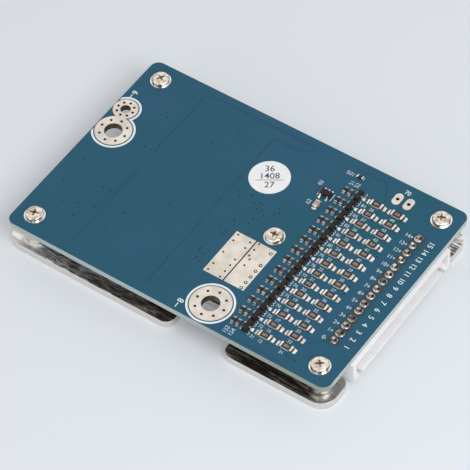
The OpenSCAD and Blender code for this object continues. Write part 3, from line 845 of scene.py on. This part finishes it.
def make_hole_linings():
    """Plated barrels of the wire holes and the probe holes, from the pads on top to those below, coloured
    dark with painted shade.
    """
    bm = bmesh.new()
    wall = 0.06
    slack = 0.002
    low = -BOARD_THICKNESS - 0.05
    for x, y, radius in (BATTERY_HOLE, PACK_HOLE, CHARGE_HOLE):
        add_tube(bm, (x, y), radius - wall, radius - slack, low, PAD_HEIGHT)
    for x, y, radius in PROBE_HOLES:
        add_tube(bm, (x, y), radius - 0.05, radius - slack, low, 0.06, 20)
    keep(smooth(moved(as_object(bm, "hole_linings", "barrel"))))


def make_pad_vias():
    """Plugged vias in the tinned pads, and a row of open ones with a ring of residue and a solder plug."""
    wire_pads = ring_of(BATTERY_HOLE, 3.65, 8)
    wire_pads += ring_of(PACK_HOLE, 3.35, 8)
    wire_pads += ring_of(CHARGE_HOLE, 2.1, 8)
    sense_pads = [(48.2, y) for y in (13.8, 15.9, 19.9, 23.9, 25.9)]
    sense_pads += [(51.8, y) for y in (13.5, 15.4, 17.5, 19.45, 23.5, 25.5)]
    sense_pads += [(53.85, y) for y in (22.2, 24.2, 26.2)] + [(54.55, y) for y in (19.25, 21.3)]
    keep_at_spots("wire_pad_vias", "pad_via", wire_pads, 0.35, 0.05, PAD_HEIGHT)
    keep_at_spots("sense_pad_vias", "pad_via", sense_pads, 0.26, 0.05, PAD_HEIGHT)

    open_vias = [(57.7, y) for y in (13.5, 15.3, 17.2, 19.2, 21.2, 25.3)]
    plug_r = 0.24
    bm = bmesh.new()
    for place in open_vias:
        add_tube(bm, place, plug_r, 0.46, PAD_HEIGHT, PAD_HEIGHT + 0.02, 18)
    keep(smooth(moved(as_object(bm, "residue_rings", "pad_via"))))
    keep_at_spots("open_via_plugs", "solder", open_vias, plug_r - 0.005, 0.04, PAD_HEIGHT)


def make_sense_pad_dam():
    """A thin dam of mask along the split between the two sense pads."""
    low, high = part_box("sense_pads")
    centre = middle("sense_pads")
    bm = bmesh.new()
    add_box(bm, 0.32, (high.y - low.y) / MM, PAD_HEIGHT, PAD_HEIGHT + 0.012, (centre.x, centre.y))
    keep(moved(as_object(bm, "sense_pad_dam", "mask_via")))


def make_mask_vias():
    """Small vias under the mask: some in set places, more strewn over parts of the copper areas."""
    places = [
        (4.1, 25.1), (4.1, 17.1), (13.2, 20.5), (15.3, 20.4), (11.2, 13.4), (15.2, 14.6), (12.3, 9.7),
        (7.6, 11.8), (13.2, 46.3), (14.1, 36.0), (48.3, 31.8), (48.2, 30.0), (51.6, 37.7), (48.3, 33.9),
        (51.6, 35.6), (52.5, 36.4), (42.9, 25.6), (44.9, 25.5), (44.8, 24.2), (44.9, 29.1),
    ]
    strewn = (
        (43, 46, 14, 22, 5), (20, 36, 6, 54, 5), (60, 80, 3, 4, 4),
        (77, 79, 10, 50, 8), (85, 88, 52, 57, 2), (40, 50, 33, 39, 9),
    )
    chance = random.Random(7)
    for low_x, high_x, low_y, high_y, count in strewn:
        for _ in range(count):
            places.append((chance.uniform(low_x, high_x), chance.uniform(low_y, high_y)))
    keep_at_spots("mask_vias", "mask_via", places, 0.22, 0.02, 0.0, 12)


# ---------------------------------------------------------------- print


def add_band(bm, inside, outside):
    """Adds a flat band of ink between two rows of points."""
    layers = [[[bm.verts.new((u, v, z)) for u, v in row] for row in (inside, outside)] for z in (0.0, INK)]
    (low_in, low_out), (high_in, high_out) = layers
    for i in range(len(low_in) - 1):
        j = i + 1
        bm.faces.new((high_in[i], high_out[i], high_out[j], high_in[j]))
        bm.faces.new((low_in[i], low_in[j], low_out[j], low_out[i]))
        bm.faces.new((low_in[i], high_in[i], high_in[j], low_in[j]))
        bm.faces.new((low_out[i], low_out[j], high_out[j], high_out[i]))
    for k in (0, -1):
        bm.faces.new((low_in[k], low_out[k], high_out[k], high_in[k]))


def add_line(bm, points, width):
    """Adds a line of ink along points, with mitred corners and square ends."""
    places = [Vector(point) for point in points]
    ways = [(end - start).normalized() for start, end in zip(places, places[1:])]
    places[0] -= ways[0] * width / 2
    places[-1] += ways[-1] * width / 2
    inside, outside = [], []
    for place, before, after in zip(places, [ways[0], *ways], [*ways, ways[-1]]):
        across = Vector((-before.y - after.y, before.x + after.x)).normalized()
        across *= width / 2 / across.dot(Vector((-after.y, after.x)))
        inside.append(tuple(place - across))
        outside.append(tuple(place + across))
    add_band(bm, inside, outside)


def add_text(bm, words, size, place, turn=0.0, z=0.0, spacing=0.92, weight=0.0):
    """Adds plain numbers or signs in millimetres, centred on a place."""
    curve = bpy.data.curves.new("number", "FONT")
    curve.body = words
    curve.size = size
    curve.extrude = INK / 2
    curve.offset = weight
    curve.space_character = spacing
    curve.align_x = "CENTER"
    curve.align_y = "CENTER"
    curve.resolution_u = 3
    spare = new_object("number", curve)
    mesh = worked_out(spare)
    bpy.data.objects.remove(spare)
    mesh.transform(Matrix.Rotation(math.radians(turn), 4, "Z"))
    mesh.transform(Matrix.Translation((place[0], place[1], z + INK / 2)))
    bm.from_mesh(mesh)
    bpy.data.meshes.remove(mesh)


def place_print(bm, name, finish="ink", lift=0.0):
    """Lays print on the board, or above it by a lift."""
    keep(moved(as_object(bm, name, finish), z=lift))


def make_signs():
    """A number and a minus sign by the wire pads, and numbers along the edge and by the probe pads."""
    bm = bmesh.new()
    add_text(bm, "8", 2.2, (48.1, 3.0), -90, weight=0.02)
    add_line(bm, [(48.1, 0.95), (48.1, 2.05)], 0.22)
    add_text(bm, "6", 2.2, (1.95, 48.6), -90, weight=0.02)
    add_line(bm, [(1.85, 46.75), (1.85, 47.6)], 0.22)
    for pin in range(PINS):
        y = FIRST_PIN + pin * PIN_PITCH
        add_text(bm, str(pin + 1), 1.95, (87.1, y), -90)
    add_text(bm, "70", 1.7, (74.2, 57.7))
    place_print(bm, "edge_numbers")


def make_row_numbers():
    """Small numbers beside the pins, the rows and the detector's parts."""
    bm = bmesh.new()
    for pin in range(PINS):
        y = FIRST_PIN + pin * PIN_PITCH
        add_text(bm, f"{pin}+" if pin else "0-", 1.5, (81.4, y - 0.4), weight=0.012)
    for row in range(ROWS):
        y = FIRST_ROW + row * ROW_PITCH - ROW_PITCH / 2
        add_text(bm, str(row + 71), 1.3, (67.7, y))
        add_text(bm, str(row + 15), 1.3, (69.9, y))
        add_text(bm, str(row + 31), 1.3, (75.6, y))
    for words, x, y, turn in (("153", 61.6, 1.9, 90), ("154", 63.1, 1.9, 90), ("51", 61.6, 53.3, 90),
                              ("52", 63.1, 53.3, 90), ("501", 59.7, 55.5, 0), ("60", 55.4, 49.4, 90),
                              ("62", 56.2, 43.1, 90)):
        add_text(bm, words, 1.6, (x, y), turn)
    place_print(bm, "row_numbers", "number_ink")


def make_part_outlines():
    """White hooks round small vias by the transistors, and bars beside the detector chip."""
    bm = bmesh.new()
    hook_r = 0.36
    half_line = 0.055
    hooks = [(66.3, FIRST_ROW + row * ROW_PITCH + side * 1.36) for row in range(ROWS) for side in (-1, 1)]
    for centre in hooks:
        inside, outside = (arc(centre, hook_r + side * half_line, -100, 100, 12) for side in (-1, 1))
        add_band(bm, inside, outside)
    chip = middle("detector_chip")
    half_w = 1.05
    for x in (chip.x - 1.85, chip.x + 1.85):
        add_line(bm, [(x, chip.y - half_w), (x, chip.y + half_w)], 0.14)
    place_print(bm, "part_outlines")
    keep_at_spots("hook_vias", "pad_via", hooks, 0.24, 0.04, 0.0, 12)


def make_label_print():
    """Three lines of plain numbers on the round label, with a rule above the last."""
    centre = middle("round_label").xy
    slant = 33
    turn = math.radians(slant)
    across = Vector((math.cos(turn), math.sin(turn)))
    up = Vector((-math.sin(turn), math.cos(turn)))
    bm = bmesh.new()
    for words, height in (("36", 2.6), ("1408", 0.35), ("27", -2.35)):
        add_text(bm, words, 2.5, centre + up * height, slant, spacing=0.98, weight=0.006)
    rule = -0.85
    half = 3.3
    add_line(bm, [centre + up * rule - across * half, centre + up * rule + across * half], 0.12)
    place_print(bm, "label_print", "label_ink", 0.1)


def make_plane_splits():
    """Narrow strips between the copper areas, seen through the mask, and a strip of painted shade in the
    split between the sense pads.
    """
    bm = bmesh.new()
    add_line(bm, [(16.9, 3.0), (16.9, 57.8), (48.4, 57.8), (47.9, 56.4), (45.4, 54.8), (38.4, 54.8),
                  (38.4, 3.0)], 0.48)
    add_line(bm, [(60.2, 4.0), (60.2, 0.9), (78.2, 0.9), (78.2, 7.5), (84.5, 14.0)], 0.35)
    add_line(bm, [(60.2, 57.6), (68.6, 57.6), (71.0, 53.0), (71.0, 51.6)], 0.35)
    place_print(bm, "plane_splits", "trench")

    # Painted shade: a dark brown strip in the split between the raised sense pads.
    pads_low, pads_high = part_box("sense_pads")
    low, high = (pads_low - CORNER) / MM, (pads_high - CORNER) / MM
    middle_x = (low.x + high.x) / 2
    gap = 0.24
    bm = bmesh.new()
    add_line(bm, [(middle_x, low.y + gap / 2), (middle_x, high.y - gap / 2)], gap)
    place_print(bm, "pad_split_shade", "gap")


# ---------------------------------------------------------------- small parts


def chip_end(cap, reach, height, hollow):
    """One soldered end of a chip, in +X: the cap, a hollow beside it and a bead out to the pad's end."""
    bead = height * 0.34
    dip = SHADE_FILL_TOP - 0.03
    top = height + 0.02
    return [(0, 0), (cap + reach, 0), (cap + reach, 0.03), (cap + reach * 0.85, bead * 0.8),
            (cap + hollow + 0.2 * reach, bead), (cap + hollow, dip), (cap + 0.04, dip),
            (cap + 0.02, height * 0.93), (cap - 0.06, top), (0, top)]


def chip_ends(name, length, width, cap, reach, height, along="X", hollows=(0.1, 0.1)):
    """Both soldered ends of a chip at the origin, narrower towards the end of the pad."""
    bm = bmesh.new()
    for side, hollow in zip((-1, 1), hollows):
        profile = [(side * (u + length / 2 - cap), v) for u, v in chip_end(cap, reach, height, hollow)]
        add_prism(bm, profile, -width / 2, width / 2, "Y")
    for vert in bm.verts:
        beyond = (abs(vert.co.x) - length / 2) / reach
        vert.co.y *= 1 - 0.22 * max(beyond, 0)
    if along == "Y":
        bmesh.ops.rotate(bm, verts=bm.verts, matrix=Matrix.Rotation(math.pi / 2, 3, "Z"))
    round_edges(bm, 0.03, 2, 35)
    return smooth(as_object(bm, name, "solder"))


def rounded_block(name, finish, length, width, low, high, edge):
    """A plain block with its edges rounded."""
    bm = bmesh.new()
    add_box(bm, length, width, low, high)
    round_edges(bm, edge)
    return smooth(as_object(bm, name, finish))


def make_bleed_resistors():
    """Flat chip resistors: a pale block, a dark glaze with a code, capped ends and their solder."""
    length, width, height = 3.2, RESISTOR_WIDTH, 0.55
    cap, reach, hollows = 0.5, 1.0, (0.42, 0.14)
    top = height + 0.03
    for seed, column in enumerate(("inner", "outer"), 3):
        node = f"bleed_resistors_{column}"
        manner = dict(x=middle(node).x, rows=CHIP_ROWS, turn=0.8, drift=0.04, seed=seed)
        block = rounded_block("block", "alumina", length - 0.1, width - 0.04, 0.03, height - 0.03, 0.03)
        keep_in_rows(f"{column}_resistor_blocks", block, "alumina", "resistor_ceramic", [node], **manner)
        glaze_length = length - 2 * cap - 0.1
        glaze = rounded_block("glaze", "glaze", glaze_length, width - 0.12, height - 0.04, top, 0.03)
        keep_in_rows(f"{column}_resistor_glaze", glaze, "glaze", "resistor_ceramic", [], **manner)
        bm = bmesh.new()
        add_text(bm, "200", 0.95, (0.0, 0.0), z=top, spacing=0.85, weight=0.05)
        code = as_object(bm, "code", "code")
        keep_in_rows(f"{column}_resistor_codes", code, "code", "board_ink", [], **manner)
        ends = chip_ends("ends", length, width, cap, reach, height, hollows=hollows)
        keep_in_rows(f"{column}_resistor_ends", ends, "solder", "tin", ["bleed_resistor_solder"], **manner)
        # Painted shade: dark boxes fill the hollows beside the caps.
        bm = bmesh.new()
        for side, hollow in zip((-1, 1), hollows):
            add_box(bm, hollow, width * 0.84, 0.0, SHADE_FILL_TOP, (side * (length + hollow) / 2, 0.0))
        hollow_shade = as_object(bm, "hollow_shade", "gap")
        keep_in_rows(f"{column}_resistor_hollow_shade", hollow_shade, "gap", "solder_mask", [], **manner)


def lead_outline(height, reach, thickness):
    """Side view of a gull-wing lead from a body's wall at x = 0, with round bends."""
    foot = reach * 0.45
    knee = reach - foot
    r = thickness
    upper = [(-0.15, height + thickness / 2), (knee - 2 * r, height + thickness / 2)]
    upper += arc((knee - 2 * r, height - thickness / 2), thickness, 80, 20, 4)
    upper += [(knee - 0.2 * r, thickness + r)]
    upper += arc((knee + 1.2 * r, 2.0 * r), r, 190, 262, 4)
    upper += [(reach, thickness)]
    lower = [(reach, 0), (knee, 0)]
    lower += arc((knee + 0.2 * r, 1.3 * r), 1.3 * r, 250, 190, 4)
    lower += [(knee - 1.8 * r, height - 1.5 * thickness)]
    lower += arc((knee - 3 * r, height - 1.3 * thickness), 0.8 * thickness, 10, 80, 3)
    lower += [(-0.15, height - thickness / 2)]
    return upper + lower


def add_leads(bm, places, width, height, reach, thickness):
    """Adds leads at (x, y, turn) places round a body."""
    for x, y, turn in places:
        verts = add_prism(bm, lead_outline(height, reach, thickness), -width / 2, width / 2, "Y")
        bmesh.ops.rotate(bm, verts=verts, matrix=Matrix.Rotation(math.radians(turn), 3, "Z"))
        bmesh.ops.translate(bm, verts=verts, vec=(x, y, 0.04))


def add_dab(bm, x, y, length, width, height):
    """Adds a low dab of solder on a pad."""
    verts = add_box(bm, length, width, 0.0, height, (x, y))
    top = [v for v in verts if v.co.z > height / 2]
    bmesh.ops.scale(bm, vec=(0.72, 0.72, 1.0), verts=top, space=Matrix.Translation((-x, -y, 0)))


def moulded_body(name, length, width, low, high, slope):
    """A small moulded body that narrows above and below its parting line."""
    bm = bmesh.new()
    parting = low + (high - low) * 0.5
    rings = []
    for z, inset in ((low, slope), (parting, 0), (high - 0.02, slope), (high, slope + 0.04)):
        rings.append([bm.verts.new((u, v, z)) for u, v in box_outline(length - 2 * inset, width - 2 * inset)])
    bm.faces.new(rings[0])
    bm.faces.new(rings[-1])
    for a, b in zip(rings, rings[1:]):
        for i in range(4):
            j = (i + 1) % 4
            bm.faces.new((a[i], a[j], b[j], b[i]))
    bmesh.ops.recalc_face_normals(bm, faces=bm.faces)
    round_edges(bm, 0.05, 2, 35)
    return smooth(as_object(bm, name, "mould"))


def make_balance_transistors():
    """Three-legged transistors in a close row."""
    manner = dict(x=middle("balance_transistors").x, rows=CHIP_ROWS, turn=1.2, drift=0.04, seed=11)
    body = moulded_body("body", 1.3, 2.95, 0.1, 1.05, 0.14)
    keep_in_rows("transistor_bodies", body, "mould", "mould_compound", ["balance_transistors"], **manner)
    bm = bmesh.new()
    add_leads(bm, [(0.62, 0, 0), (-0.62, -0.95, 180), (-0.62, 0.95, 180)], 0.42, 0.5, 0.62, 0.13)
    legs = smooth(as_object(bm, "legs", "dull_solder"))
    keep_in_rows("transistor_legs", legs, "dull_solder", "tin", ["balance_transistor_leads"], **manner)
    bm = bmesh.new()
    add_dab(bm, 1.4, 0, 0.95, 0.95, 0.16)
    for y in (-0.95, 0.95):
        add_dab(bm, -1.1, y, 0.5, 0.6, 0.14)
    round_edges(bm, 0.05, 2, 20)
    dabs = smooth(as_object(bm, "dabs", "solder"))
    keep_in_rows("transistor_solder", dabs, "solder", "tin", [], **manner)


def make_filter_chips():
    """The small resistor and capacitor of every row, set side by side."""
    for seed, (kind, finish) in enumerate((("resistor", "glaze"), ("capacitor", "ceramic")), 21):
        node = f"filter_{kind}s"
        manner = dict(x=middle(node).x, rows=CHIP_ROWS, turn=1.5, drift=0.05, seed=seed)
        block = rounded_block("block", finish, 0.78, 1.2, 0.03, 0.48, 0.03)
        keep_in_rows(f"filter_{kind}_blocks", block, finish, f"{kind}_ceramic", [node], **manner)
        ends = chip_ends("ends", 1.6, 0.84, 0.3, 0.38, 0.48, along="Y")
        keep_in_rows(f"filter_{kind}_ends", ends, "dull_solder", "tin", ["filter_chip_solder"], **manner)


def make_detector_parts():
    """The detector chip, its capacitor and its resistor."""
    x, y, _ = middle("detector_chip")
    body = moulded_body("detector_body", 2.9, 1.6, 0.1, 1.1, 0.08)
    keep(moved(body, x, y), ["detector_chip"])
    places = [(i * 0.95, 0.77, 90) for i in (-1, 0, 1)] + [(i * 0.95, -0.77, -90) for i in (-1, 1)]
    bm = bmesh.new()
    add_leads(bm, places, 0.4, 0.55, 0.62, 0.13)
    for along, across, turn in places:
        add_dab(bm, along, across + (0.55 if turn > 0 else -0.55), 0.62, 0.8, 0.16)
    legs = smooth(as_object(bm, "detector_legs", "solder"))
    keep(moved(legs, x, y), ["detector_chip_leads"])

    x, y, _ = middle("detector_capacitor")
    block = rounded_block("detector_capacitor_block", "tan_ceramic", 1.25, 1.3, 0.05, 0.92, 0.05)
    keep(moved(block, x, y), ["detector_capacitor"])
    ends = chip_ends("detector_capacitor_ends", 2.0, 1.27, 0.42, 0.55, 0.9, along="Y")
    keep(moved(ends, x, y), ["detector_part_solder"])

    x, y, _ = middle("detector_resistor")
    block = rounded_block("detector_resistor_block", "glaze", 1.2, 0.78, 0.03, 0.48, 0.03)
    keep(moved(block, x, y), ["detector_resistor"])
    ends = chip_ends("detector_resistor_ends", 1.6, 0.84, 0.3, 0.38, 0.48)
    keep(moved(ends, x, y), ["detector_part_solder"])


def make_pin_solder():
    """Hollow cones of solder round the pin tips, no two quite alike."""
    cone = [(0, 0), (1.0, 0.0), (0.98, 0.05), (0.84, 0.12), (0.68, 0.28), (0.56, 0.52), (0.49, 0.78),
            (0.44, 0.95), (0.30, 1.02), (0, 1.04)]
    bm = bmesh.new()
    add_turned(bm, cone, 28)
    joint = smooth(as_object(bm, "joint", "joint"))
    keep_in_rows("pin_solder_cones", joint, "joint", "tin", ["pin_solder"], PIN_X, PIN_ROW,
                 turn=180.0, drift=0.09, seed=5, growth=0.13)


def make_connector():
    """The moulded housing with its edges softened."""
    housing = softened_copy("connector_housing", "moulded_housing", "nylon", 0.12, 2)
    keep(housing, ["connector_housing"])


# ---------------------------------------------------------------- stage


def make_floor():
    """A pale floor that the camera and mirrors see as white, with the object's shadow kept."""
    bm = bmesh.new()
    add_box(bm, 4000, 4000, -1.0, -0.05)
    finish = Finish("floor")
    finish.shader.inputs["Base Color"].default_value = (0.63, 0.665, 0.70, 1)
    finish.shader.inputs["Roughness"].default_value = 0.9
    path = finish.node("ShaderNodeLightPath")
    seen = finish.math("MAXIMUM", path.outputs["Is Camera Ray"],
                       finish.math("MAXIMUM", path.outputs["Is Glossy Ray"],
                                   path.outputs["Is Transmission Ray"]))
    finish.shader.inputs["Emission Color"].default_value = (1, 1, 1, 1)
    finish.link(finish.math("MULTIPLY", seen, 0.16), finish.shader.inputs["Emission Strength"])
    FINISH["floor"] = finish.material
    as_object(bm, "floor", "floor")


def look(place, target, lean=0.0):
    """Place and turn of what looks from one point at another, in metres, leaning by some degrees."""
    turn = (target - place).to_track_quat("-Z", "Y").to_matrix().to_4x4()
    return Matrix.Translation(place) @ turn @ Matrix.Rotation(math.radians(lean), 4, "Z")


def make_light(name, place, size, power):
    """A soft square lamp aimed at the frame's origin, its place in metres."""
    lamp = bpy.data.lights.new(name, "AREA")
    lamp.energy = power
    lamp.size = size
    new_object(name, lamp).matrix_world = look(Vector(place), Vector((0, 0, 0)))


def make_world():
    """Soft even light, and white where the camera or a mirror looks past the floor."""
    world = bpy.data.worlds.new("studio")
    bpy.context.scene.world = world
    world.use_nodes = True
    tree = world.node_tree
    soft = tree.nodes["Background"]
    soft.inputs["Color"].default_value = (0.97, 0.98, 1.0, 1)
    soft.inputs["Strength"].default_value = 0.55
    white = add_node(tree, "ShaderNodeBackground", values={"Color": (1, 1, 1, 1), "Strength": 1.0})
    path = tree.nodes.new("ShaderNodeLightPath")
    mirror = add_node(tree, "ShaderNodeMath", {"operation": "MAXIMUM"})
    seen = add_node(tree, "ShaderNodeMath", {"operation": "MAXIMUM"})
    choose = tree.nodes.new("ShaderNodeMixShader")
    wire(tree,
         (path, "Is Glossy Ray", mirror, 0), (path, "Is Transmission Ray", mirror, 1),
         (mirror, 0, seen, 0), (path, "Is Camera Ray", seen, 1),
         (seen, 0, choose, 0), (soft, 0, choose, 1), (white, 0, choose, 2),
         (choose, 0, tree.nodes["World Output"], 0))


def make_camera():
    """A long lens at about 38 degrees round and 51 degrees up."""
    data = bpy.data.cameras.new("camera")
    data.sensor_width = 36.0
    data.lens = 234.04
    data.clip_start = 0.01
    data.clip_end = 10.0
    camera = new_object("camera", data)
    camera.matrix_world = look(spot(322.774, -326.849, 546.533), spot(47.56, 25.468), -3.8631)
    bpy.context.scene.camera = camera


def make_studio():
    """Camera, world, floor and two lamps."""
    bpy.context.scene.view_settings.view_transform = "Standard"
    make_camera()
    make_world()
    make_floor()
    make_light("key", (0.46, -0.16, 0.48), 0.36, 2.5)
    make_light("front_fill", (-0.05, -0.62, 0.10), 0.4, 0.6)


# ---------------------------------------------------------------- all together

make_studio()
paint_frame_nodes()
make_plate()
make_standoffs()
make_screws()
make_hole_linings()
make_pad_vias()
make_sense_pad_dam()
make_mask_vias()
make_plane_splits()
make_signs()
make_row_numbers()
make_part_outlines()
make_label_print()
make_bleed_resistors()
make_balance_transistors()
make_filter_chips()
make_detector_parts()
make_pin_solder()
make_connector()
